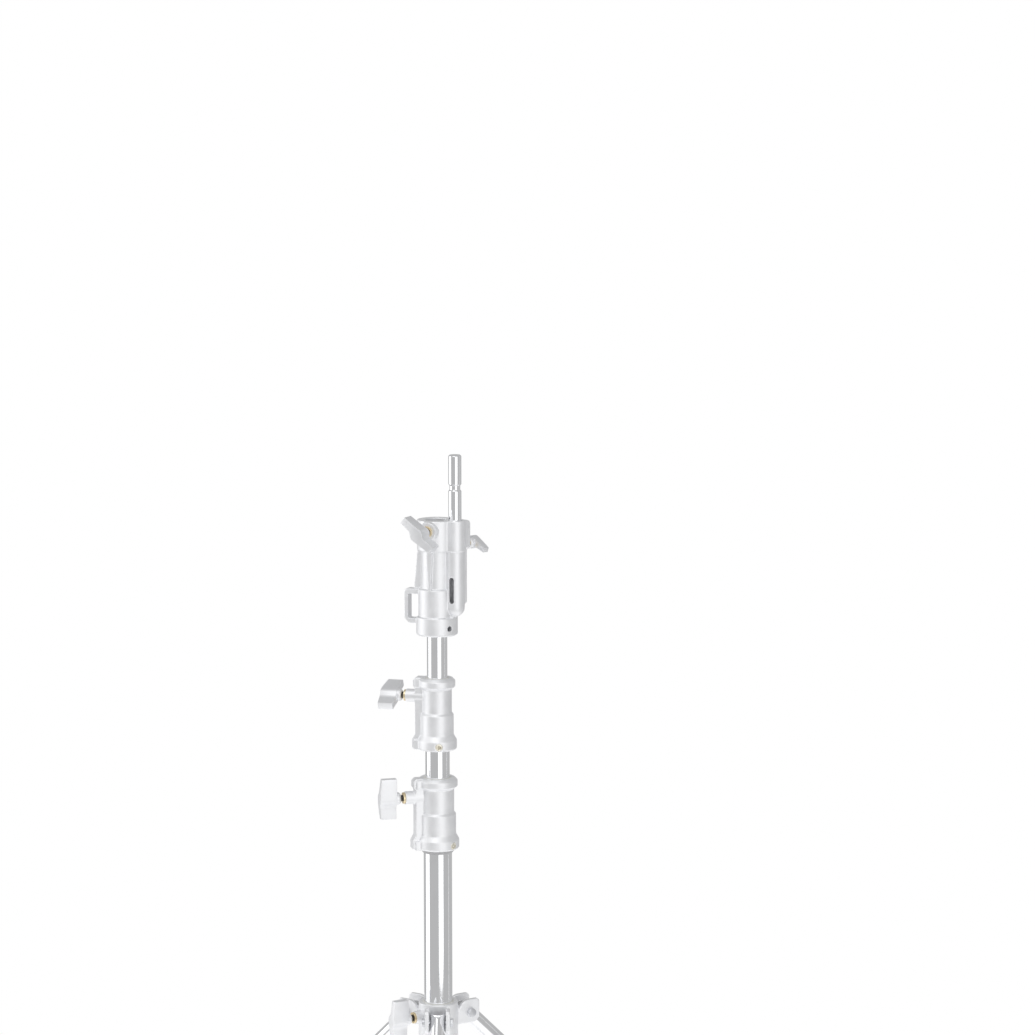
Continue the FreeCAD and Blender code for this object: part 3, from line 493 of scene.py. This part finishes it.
# ---------------------------------------------------------------- pieces made from a node's own shape
@dataclass
class Casting:
    """A cast part: the node's shape with its corners and edges softened as the mould leaves them."""

    node: str
    finish: Finish = CAST
    voxel: float = 0.6 * MM
    passes: int = 3
    fit: float = 0.3 * MM
    most_faces: int = 150_000
    smoothing: float = 0.5
    crease: float = 50.0

    def build(self) -> bpy.types.Object:
        """Rounds the casting, keeps the faces that fit other parts exact, and publishes it."""
        cad = BVHTree.FromBMesh(copy_of(self.node))
        work = modified(copy_of(self.node), "REMESH", mode="VOXEL", voxel_size=self.voxel)
        for _ in range(self.passes):
            bmesh.ops.smooth_vert(
                work,
                verts=work.verts,
                factor=self.smoothing,
                use_axis_x=True,
                use_axis_y=True,
                use_axis_z=True,
            )
        self.keep_fits(work, cad)
        triangles = 2 * len(work.faces)
        if triangles > self.most_faces:
            work = modified(work, "DECIMATE", ratio=self.most_faces / triangles)
        self.carve(work)
        return publish(work, f"{self.node}_skin", self.finish, [self.node], self.crease)

    def keep_fits(self, work: bmesh.types.BMesh, cad: BVHTree) -> None:
        """Puts back on the CAD surface what lies close to another part.

        Args:
            work: The softened mesh.
            cad: The exact surface.
        """
        joined = bmesh.new()
        low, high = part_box(self.node)
        for name in frame["nodes"]:
            other_low, other_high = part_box(name)
            apart = any(other_low[k] > high[k] or other_high[k] < low[k] for k in range(3))
            if name != self.node and not apart:
                joined.from_mesh(frame["nodes"][name].data)
        others = BVHTree.FromBMesh(joined)
        joined.free()
        for vertex in work.verts:
            exact = cad.find_nearest(vertex.co)[0]
            if others.find_nearest(exact, self.fit)[0] is not None:
                vertex.co = exact

    def carve(self, work: bmesh.types.BMesh) -> None:
        """Adds surface relief of its own; a plain casting has none."""


@dataclass
class Machined:
    """A turned, pressed or cut part: the node's shape with its sharp edges broken."""

    nodes: list[str]
    edge: float
    segments: int = 3

    def build(self) -> None:
        """Breaks the edges of each node's copy and publishes it."""
        for node in self.nodes:
            work = flattened(node)
            soften(work, self.edge, self.segments)
            publish(work, f"{node}_skin", finish_of(node), [node])


@dataclass
class Dressed:
    """Parts whose own shape is right and that only take a finish."""

    nodes: list[str]

    def build(self) -> None:
        """Gives each node the finish of its slot."""
        for node in self.nodes:
            finish = finish_of(node)
            frame["nodes"][node].data.materials[0] = finish.material()
            log.info("%s: finished as %s", node, finish.slot.value)


@dataclass
class RubberFoot(Casting):
    """A rubber boot on a leg's end, with rings moulded round its sleeve."""

    leg: str = ""
    rings: int = 5
    ring_depth: float = 0.5 * MM
    core_radius: float = 12 * MM

    def carve(self, work: bmesh.types.BMesh) -> None:
        """Sinks the rings into the sleeve, away from the sole and the mouth."""
        tube = points_of(self.leg)
        top = max(tube, key=lambda point: point.z)
        foot = min(tube, key=lambda point: point.z)
        axis = (top - foot).normalized()
        middle = sum(tube, Vector()) / len(tube)
        reach = [(vertex.co - middle).dot(axis) for vertex in work.verts]
        start, end = min(reach), max(reach)
        pitch = (end - start) / (2 * self.rings)
        mouth = end - 0.5 * pitch
        for vertex, along in zip(work.verts, reach):
            spoke = vertex.co - middle - along * axis
            ring = max(0.0, math.sin((mouth - along) / pitch * TURN)) ** 0.5
            on_sleeve = mouth - self.rings * pitch < along < mouth
            if on_sleeve and spoke.length > self.core_radius:
                vertex.co -= spoke.normalized() * self.ring_depth * ring


# ---------------------------------------------------------------- clamping knobs
@dataclass
class Clamp:
    """A clamping knob: a cast T-handle on a threaded screw, in a brass bush."""

    joint: str
    prefix: str
    hub: float = 8 * MM
    half: float = 25.5 * MM
    inner: float = 2.2 * MM
    outer: float = 6.5 * MM
    depth: float = 21 * MM
    neck: float = 5.5 * MM
    waist: float = 9 * MM
    crown: float = 2.2 * MM
    edge: float = 1.1 * MM
    bush_edge: float = 0.7 * MM
    pitch: float = 1.25 * MM
    slices: int = 6
    arc_steps: int = 8
    thread_facets: int = 20
    thread_depth: float = 0.6
    root_play: float = 0.1 * MM
    chamfer: float = 0.3 * MM
    basis: Matrix = field(init=False)
    origin: Vector = field(init=False)
    outwards: Vector = field(init=False)

    def __post_init__(self) -> None:
        """Reads the screw's line from its joints and the handle's turn from its node."""
        joints = {joint["name"]: joint for joint in frame["joints"]}
        self.outwards = Vector(joints[f"{self.joint}_screw_travel"]["axis"]).normalized()
        self.origin = Vector(joints[f"{self.joint}_knob_turn"]["pos_m"])
        tip = max(points_of(f"{self.prefix}_knob"), key=lambda point: self.spoke(point).length)
        lean = Matrix.Rotation(math.atan2(self.outer, self.half), 3, self.outwards)
        along = (lean @ self.spoke(tip)).normalized()
        across = along.cross(self.outwards)
        self.basis = Matrix((self.outwards, across, along)).transposed()

    def spoke(self, point: Vector) -> Vector:
        """The part of a point's place that is square to the screw's line."""
        offset = point - self.origin
        return offset - offset.dot(self.outwards) * self.outwards

    def span(self, node: str) -> tuple[float, float, float]:
        """A node's nearest and furthest reach along the screw, and its greatest radius."""
        points = points_of(node)
        reach = [(point - self.origin).dot(self.outwards) for point in points]
        return min(reach), max(reach), max(self.spoke(point).length for point in points)

    def placed(self, work: bmesh.types.BMesh, start: float) -> bmesh.types.BMesh:
        """Moves a mesh drawn along +X to its place on the screw's line."""
        seat = self.origin + start * self.outwards
        bmesh.ops.transform(work, matrix=Matrix.Translation(seat) @ self.basis.to_4x4(), verts=work.verts)
        return work

    def outline(self) -> list[tuple[float, float]]:
        """The handle's outline as (across, along): each wing is straight on one side and hollow on the other.

        Returns:
            Points round the outline, with the hub and the hollows as arcs.
        """
        leave = math.atan2(self.half, self.outer) - math.acos(self.hub / math.hypot(self.half, self.outer))
        reach = self.hub + self.waist
        side = self.inner + self.waist
        rise = math.sqrt(reach**2 - side**2)
        meet = math.atan2(rise, -side)
        wing = [(self.outer, self.half), (-self.inner, self.half)]
        for step in range(self.arc_steps + 1):
            turn = (meet - math.pi) * step / self.arc_steps
            wing.append((self.waist * math.cos(turn) - side, self.waist * math.sin(turn) + rise))
        for step in range(1, self.arc_steps + 1):
            turn = meet + (math.pi + leave - meet) * step / self.arc_steps
            wing.append((self.hub * math.cos(turn), self.hub * math.sin(turn)))
        return wing + [(-across, -along) for across, along in wing]

    def wings(self) -> bmesh.types.BMesh:
        """The handle's two wings: the outline drawn out, crowned towards the tips and rounded."""
        work = bmesh.new()
        corners = [work.verts.new((self.neck, across, along)) for across, along in self.outline()]
        back = work.faces.new(corners)
        drawn = bmesh.ops.extrude_face_region(work, geom=[back])["geom"]
        front = [item for item in drawn if isinstance(item, bmesh.types.BMVert)]
        bmesh.ops.translate(work, verts=front, vec=(self.depth, 0, 0))
        for step in range(1, self.slices):
            for side in (-1, 1):
                level = side * self.half * step / self.slices
                everything = work.verts[:] + work.edges[:] + work.faces[:]
                bmesh.ops.bisect_plane(work, geom=everything, plane_co=(0, 0, level), plane_no=(0, 0, 1))
        bmesh.ops.recalc_face_normals(work, faces=work.faces)
        for vertex in work.verts:
            if vertex.co.x > self.neck + self.depth / 2:
                beyond = max(0.0, abs(vertex.co.z) - self.hub / 2) / (self.half - self.hub / 2)
                vertex.co.x -= self.crown * beyond**1.5
        soften(work, self.edge, 4, 40.0)
        return work

    def collar(self) -> bmesh.types.BMesh:
        """The handle's neck, turned round the screw and let into the wings."""
        work = lathe([
            (0, 0.5 * self.hub),
            (0, 0.66 * self.hub),
            (0.12 * self.neck, 0.78 * self.hub),
            (0.36 * self.neck, 0.92 * self.hub),
            (0.66 * self.neck, 0.96 * self.hub),
            (1.3 * self.neck, 0.93 * self.hub),
            (1.3 * self.neck, 0.5 * self.hub),
        ])
        soften(work, 0.4 * MM, 2, 25.0)
        return work

    def handle(self) -> None:
        """Joins the neck to the wings and publishes the handle."""
        start = self.span(f"{self.prefix}_knob")[0]
        work = self.wings()
        neck = bpy.data.meshes.new("neck")
        collar = self.collar()
        collar.to_mesh(neck)
        collar.free()
        work.from_mesh(neck)
        bpy.data.meshes.remove(neck)
        publish(self.placed(work, start), f"{self.prefix}_handle", BRIGHT, [f"{self.prefix}_knob"])

    def screw(self) -> None:
        """The screw: a plain core with a helical thread spun round it."""
        start, end, radius = self.span(f"{self.prefix}_screw")
        root = radius - self.thread_depth * self.pitch
        length = end - start
        core = [(0, 0), (0, root - self.chamfer), (self.chamfer, root), (length, root), (length, 0)]
        work = lathe(core, 24)
        turns = int(length / self.pitch) - 1
        foot = root - self.root_play
        ridge = [(0.05, foot), (0.4, radius), (0.6, radius), (0.95, foot)]
        corners = [work.verts.new((along * self.pitch, 0, height)) for along, height in ridge]
        sides = [work.edges.new(pair) for pair in zip(corners, corners[1:] + corners[:1])]
        spun = bmesh.ops.spin(
            work,
            geom=corners + sides,
            cent=(0, 0, 0),
            axis=(1, 0, 0),
            dvec=(self.pitch / self.thread_facets, 0, 0),
            angle=TURN * turns,
            steps=self.thread_facets * turns,
        )
        last = [item for item in spun["geom_last"] if isinstance(item, bmesh.types.BMVert)]
        work.faces.new(corners)
        work.faces.new(last)
        bmesh.ops.recalc_face_normals(work, faces=work.faces)
        node = f"{self.prefix}_screw"
        publish(self.placed(work, start), f"{self.prefix}_thread", DARK, [node], crease=30.0)

    def build(self) -> None:
        """Builds the handle and the screw, breaks the bush's edges and finishes the shoe."""
        self.handle()
        self.screw()
        Machined([f"{self.prefix}_bush"], self.bush_edge, 4).build()
        Dressed([f"{self.prefix}_shoe"]).build()


@dataclass
class SmallClamp(Clamp):
    """The stud's clamping knob, which has a smaller and flatter handle."""

    hub: float = 8 * MM
    half: float = 24.5 * MM
    inner: float = 1.6 * MM
    outer: float = 4.2 * MM
    depth: float = 9 * MM
    waist: float = 5 * MM
    crown: float = 1.4 * MM
    edge: float = 0.9 * MM


# ---------------------------------------------------------------- sub-assemblies
@dataclass
class CrossScrews:
    """A pair of pan-headed screws with a cross recess, set into a collar's ring."""

    node: str
    arm: float = 2.4 * MM
    width: float = 0.95 * MM
    recess: float = 1.5 * MM
    edge: float = 0.9 * MM
    rim_band: float = 0.1 * MM

    def build(self) -> None:
        """Rounds both heads, cuts the recesses and publishes the pair."""
        work = flattened(self.node)
        soften(work, self.edge, 4)
        seat = self.face_middle()
        cutter = bmesh.new()
        for side in (1, -1):
            place = Vector((side * seat.x, side * seat.y, seat.z))
            turn = Vector((place.x, place.y, 0)).to_track_quat("X", "Z").to_matrix().to_4x4()
            for across, up in ((self.arm, self.width), (self.width, self.arm)):
                scale = Matrix.Diagonal((2 * self.recess, 2 * across, 2 * up, 1.0))
                bmesh.ops.create_cube(cutter, size=1.0, matrix=Matrix.Translation(place) @ turn @ scale)
        publish(carved(work, cutter), f"{self.node}_heads", YELLOW, [self.node])

    def face_middle(self) -> Vector:
        """The middle of one head's outer face; the other screw's is straight opposite."""
        points = points_of(self.node)
        furthest = max(points, key=lambda point: point.to_2d().length).to_2d()
        rim = [
            point
            for point in points
            if point.to_2d().length > furthest.length - self.rim_band and point.to_2d().dot(furthest) > 0
        ]
        middle = sum(rim, Vector()) / len(rim)
        low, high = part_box(self.node)
        return Vector((middle.x, middle.y, (low.z + high.z) / 2))


def carved(work: bmesh.types.BMesh, cutter: bmesh.types.BMesh) -> bmesh.types.BMesh:
    """Cuts one mesh out of another.

    Args:
        work: The mesh to cut, which is freed.
        cutter: The mesh to take away, which is freed.

    Returns:
        What is left.
    """
    mesh = bpy.data.meshes.new("cutter")
    cutter.to_mesh(mesh)
    cutter.free()
    tool = bpy.data.objects.new("cutter", mesh)
    bpy.context.scene.collection.objects.link(tool)
    result = modified(work, "BOOLEAN", operation="DIFFERENCE", object=tool, solver="EXACT", use_self=True)
    bpy.data.objects.remove(tool)
    bpy.data.meshes.remove(mesh)
    return result


@dataclass
class Column:
    """The three chromed tubes, the two cast collars and what sits in and under them."""

    collars: tuple[str, ...] = ("base_collar", "middle_collar")
    bumper_edge: float = 0.8 * MM

    def build(self) -> None:
        """Builds the collars and dresses the tubes."""
        for collar in self.collars:
            Casting(collar).build()
            CrossScrews(f"{collar}_screws").build()
            Dressed([f"{collar}_liner"]).build()
        Machined(["base_collar_bumper", "base_end_cap"], self.bumper_edge).build()
        Dressed(["base_tube", "middle_riser_tube", "top_riser_tube"]).build()
        Dressed(["middle_riser_guide", "top_riser_guide"]).build()


@dataclass
class Head:
    """The cast head with its grub screws and the sliding stud."""

    stud_edge: float = 0.4 * MM

    def build(self) -> None:
        """Builds the casting and dresses the screws and the stud."""
        Casting("head_casting", passes=4).build()
        Machined(["baby_stud"], self.stud_edge, 2).build()
        Dressed(["head_set_screws"]).build()


@dataclass
class Base:
    """The two hubs, the legs, the braces and their pivots."""

    legs: tuple[str, ...] = ("a", "b", "c")
    hardware_edge: float = 0.7 * MM
    brace_edge: float = 0.5 * MM

    def build(self) -> None:
        """Builds the hubs and each leg."""
        Casting("leg_hub").build()
        Casting("lower_hub").build()
        pivots = ["leg_pivot_bolts", "leg_pivot_nuts", "brace_pivot_bolts", "brace_pivot_nuts"]
        Machined([*pivots, "lower_hub_screws"], self.hardware_edge).build()
        Dressed(["leg_hub_liner"]).build()
        for leg in self.legs:
            Dressed([f"leg_{leg}_tube", f"leg_{leg}_plug"]).build()
            Machined([f"brace_{leg}"], self.brace_edge, 2).build()
            Machined([f"brace_{leg}_bolt"], self.hardware_edge).build()
            tube = f"leg_{leg}_tube"
            RubberFoot(f"leg_{leg}_foot", RUBBER, 0.8 * MM, 3, most_faces=40_000, leg=tube).build()


@dataclass(frozen=True)
class SoftBox:
    """A large soft light; its azimuth is in degrees from +X, and the white backdrop has a level of 1."""

    name: str
    azimuth: float
    distance: float
    height: float
    size: tuple[float, float]
    level: float

    def hang(self, target: Vector) -> None:
        """Hangs the light and aims it.

        Args:
            target: The point on the column that it faces.
        """
        data = bpy.data.lights.new(self.name, "AREA")
        data.shape = "RECTANGLE"
        data.size, data.size_y = self.size
        data.energy = self.level * math.pi * self.size[0] * self.size[1]
        lamp = bpy.data.objects.new(self.name, data)
        bearing = math.radians(self.azimuth)
        lamp.location = (self.distance * math.cos(bearing), self.distance * math.sin(bearing), self.height)
        aim = target - lamp.location
        lamp.rotation_euler = aim.to_track_quat("-Z", "Y").to_euler()
        lamp.visible_camera = False
        bpy.context.scene.collection.objects.link(lamp)


@dataclass
class Studio:
    """A pale floor that fades into white, soft boxes and the camera."""

    floor_radius: float = 1.5
    distance: float = 3.6
    pitch: float = 7.5
    lens: float = 102.8
    aim_right: float = 0.0985
    aim_up: float = 0.002
    lit_height: float = 0.8
    ambient: float = 0.5
    floor_glow: float = 0.45
    lights: tuple[SoftBox, ...] = (
        SoftBox("left_box", 178, 2.2, 1.1, (1.75, 2.8), 1.0),
        SoftBox("front_box", 297, 2.6, 1.1, (1.9, 2.8), 0.98),
        SoftBox("top_box", 250, 2.0, 3.2, (2.2, 2.2), 1.4),
        SoftBox("right_strip", 9, 2.2, 1.1, (0.09, 2.8), 0.75),
    )

    def floor(self) -> None:
        """A disc whose rim fades out."""
        work = bmesh.new()
        bmesh.ops.create_circle(work, cap_ends=True, radius=self.floor_radius, segments=96)
        mesh = bpy.data.meshes.new("floor")
        work.to_mesh(mesh)
        work.free()
        disc = bpy.data.objects.new("floor", mesh)
        bpy.context.scene.collection.objects.link(disc)
        material = bpy.data.materials.new("studio_floor")
        graph = Graph(material)
        place = graph.add("ShaderNodeTexCoord", output="Object")
        radius = graph.add("ShaderNodeVectorMath", {"operation": "LENGTH"}, {0: place}, output="Value")
        fade = radius.between(self.floor_radius, 0.5 * self.floor_radius)
        white = (1.0, 1.0, 1.0, 1.0)
        graph.shade(Base_Color=(0.9, 0.9, 0.9, 1.0), Roughness=0.9, Alpha=fade)
        graph.shade(Emission_Color=white, Emission_Strength=self.floor_glow)
        mesh.materials.append(material)

    def world(self) -> None:
        """An even pale surround: white behind the object and a softer grey in its reflections."""
        world = bpy.data.worlds.new("studio")
        world.use_nodes = True
        bpy.context.scene.world = world
        tree = world.node_tree
        tree.nodes.clear()
        output = tree.nodes.new("ShaderNodeOutputWorld")
        mix = tree.nodes.new("ShaderNodeMixShader")
        path = tree.nodes.new("ShaderNodeLightPath")
        for slot, level in ((1, self.ambient), (2, 1.0)):
            backdrop = tree.nodes.new("ShaderNodeBackground")
            backdrop.inputs["Color"].default_value = (level, level, level, 1.0)
            tree.links.new(backdrop.outputs[0], mix.inputs[slot])
        tree.links.new(path.outputs["Is Camera Ray"], mix.inputs[0])
        tree.links.new(mix.outputs[0], output.inputs["Surface"])

    def camera(self) -> None:
        """The camera, square to +Y and tipped down a little at the head."""
        data = bpy.data.cameras.new("camera")
        data.sensor_width = 36.0
        data.lens = self.lens
        camera = bpy.data.objects.new("camera", data)
        tip = math.radians(self.pitch)
        head_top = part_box("head_casting")[1].z
        aim = Vector((self.aim_right, 0, head_top + self.aim_up))
        camera.location = aim + self.distance * Vector((0, -math.cos(tip), math.sin(tip)))
        camera.rotation_euler = (math.pi / 2 - tip, 0, 0)
        bpy.context.scene.collection.objects.link(camera)
        bpy.context.scene.camera = camera

    def build(self) -> None:
        """Sets the stage."""
        bpy.context.scene.view_settings.view_transform = "Standard"
        self.floor()
        self.world()
        for light in self.lights:
            light.hang(Vector((0, 0, self.lit_height)))
        self.camera()
        log.info("studio: floor, surround, three soft boxes, a strip light and the camera")


def main() -> None:
    """Builds the looks sub-assembly by sub-assembly."""
    logging.basicConfig(level=logging.INFO, format="%(name)s %(message)s")
    Column().build()
    Head().build()
    Clamp("base", "base_collar").build()
    Clamp("middle", "middle_collar").build()
    Clamp("receiver", "receiver").build()
    SmallClamp("stud", "stud").build()
    Clamp("hub", "leg_hub").build()
    Base().build()
    Studio().build()


if __name__ == "__main__":
    main()
    bpy.context.view_layer.update()
